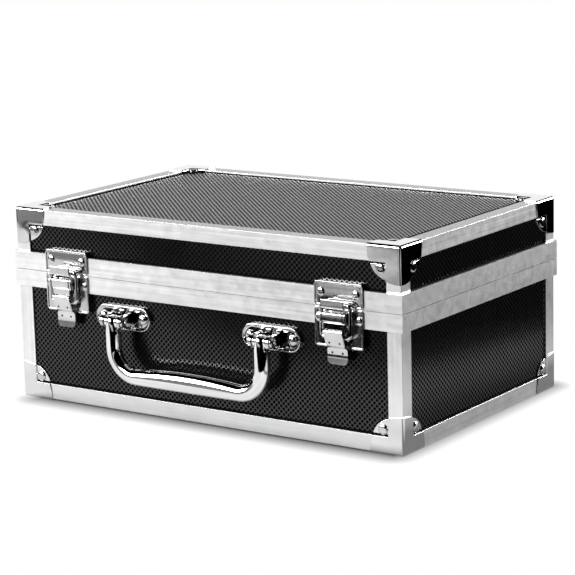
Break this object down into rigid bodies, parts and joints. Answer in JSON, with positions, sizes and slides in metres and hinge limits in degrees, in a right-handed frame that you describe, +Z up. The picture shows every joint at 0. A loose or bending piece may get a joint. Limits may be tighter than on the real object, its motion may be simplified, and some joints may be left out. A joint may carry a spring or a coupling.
{
  "type": "card slab storage box",
  "caption": "Small hard case for graded card slabs, with textured panels, metal edge rails, corner caps, draw latches, a swing handle and a foam lining.",
  "frame": {"origin": "middle of the underside: the corner caps rest at Z = 0, and X and Y are centred on the whole case with its handle and hinges", "axes": "+X along the width to the viewer's right, -Y towards the front with the latches and the handle, +Z up"},
  "size_m": [0.3236, 0.2278, 0.1391],
  "materials": {
    "textured_panel": "textured",
    "edge_rail": "satin",
    "closing_band": "satin",
    "chrome_cap": "polished",
    "chrome_hardware": "polished",
    "rivet_steel": "satin",
    "pin_steel": "satin",
    "foam": "soft"
  },
  "bodies": {
    "case_base": {"base_front_panel": "textured_panel", "base_back_panel": "textured_panel", "base_left_panel": "textured_panel", "base_right_panel": "textured_panel", "base_bottom_panel": "textured_panel", "base_rail_front": "edge_rail", "base_rail_back": "edge_rail", "base_rail_left": "edge_rail", "base_rail_right": "edge_rail", "base_posts": "edge_rail", "base_closing_band": "closing_band", "base_cap_front_left": "chrome_cap", "base_cap_front_right": "chrome_cap", "base_cap_back_left": "chrome_cap", "base_cap_back_right": "chrome_cap", "base_cap_rivets": "rivet_steel", "latch_plate_left": "chrome_hardware", "latch_plate_right": "chrome_hardware", "latch_pins": "pin_steel", "handle_bracket_left": "chrome_hardware", "handle_bracket_right": "chrome_hardware", "handle_pins": "pin_steel", "hinge_base_leaf_left": "chrome_hardware", "hinge_base_leaf_right": "chrome_hardware", "hinge_pins": "pin_steel", "base_plate_rivets": "rivet_steel", "handle_bracket_rivets": "rivet_steel", "foam_floor": "foam", "foam_wall_left": "foam", "foam_wall_right": "foam", "foam_divider": "foam", "foam_liners": "foam"},
    "lid": {"lid_top_panel": "textured_panel", "lid_front_panel": "textured_panel", "lid_back_panel": "textured_panel", "lid_left_panel": "textured_panel", "lid_right_panel": "textured_panel", "lid_rail_front": "edge_rail", "lid_rail_back": "edge_rail", "lid_rail_left": "edge_rail", "lid_rail_right": "edge_rail", "lid_posts": "edge_rail", "lid_closing_band": "closing_band", "lid_cap_front_left": "chrome_cap", "lid_cap_front_right": "chrome_cap", "lid_cap_back_left": "chrome_cap", "lid_cap_back_right": "chrome_cap", "lid_cap_rivets": "rivet_steel", "catch_plate_left": "chrome_hardware", "catch_plate_right": "chrome_hardware", "hinge_lid_leaf_left": "chrome_hardware", "hinge_lid_leaf_right": "chrome_hardware", "lid_plate_rivets": "rivet_steel", "lid_foam": "foam"},
    "handle": {"handle": "chrome_hardware"},
    "latch_left_lever": {"latch_lever_left": "chrome_hardware"},
    "latch_right_lever": {"latch_lever_right": "chrome_hardware"},
    "latch_left_link": {"latch_link_left": "chrome_hardware"},
    "latch_right_link": {"latch_link_right": "chrome_hardware"}
  },
  "joints": [
    {"name": "lid_hinge", "type": "hinge", "parent": "case_base", "child": "lid", "pos_m": [0, 0.1115, 0.0943], "axis": [-1, 0, 0], "range_deg": [0, 95]},
    {"name": "handle_swing", "type": "hinge", "parent": "case_base", "child": "handle", "pos_m": [-0.0035, -0.1089, 0.0679], "axis": [-1, 0, 0], "range_deg": [0, 95]},
    {"name": "latch_left_swing", "type": "hinge", "parent": "case_base", "child": "latch_left_lever", "pos_m": [-0.114, -0.1039, 0.0891], "axis": [-1, 0, 0], "range_deg": [0, 90]},
    {"name": "latch_right_swing", "type": "hinge", "parent": "case_base", "child": "latch_right_lever", "pos_m": [0.114, -0.1039, 0.0891], "axis": [-1, 0, 0], "range_deg": [0, 90]},
    {"name": "latch_left_link_swing", "type": "hinge", "parent": "latch_left_lever", "child": "latch_left_link", "pos_m": [-0.114, -0.1026, 0.0756], "axis": [-1, 0, 0], "range_deg": [-46.8, 0]},
    {"name": "latch_right_link_swing", "type": "hinge", "parent": "latch_right_lever", "child": "latch_right_link", "pos_m": [0.114, -0.1026, 0.0756], "axis": [-1, 0, 0], "range_deg": [-46.8, 0]}
  ],
  "couplings": [
    {"joint": "latch_left_link_swing", "follows": "latch_left_swing", "ratio": -0.52},
    {"joint": "latch_right_link_swing", "follows": "latch_right_swing", "ratio": -0.52}
  ]
}
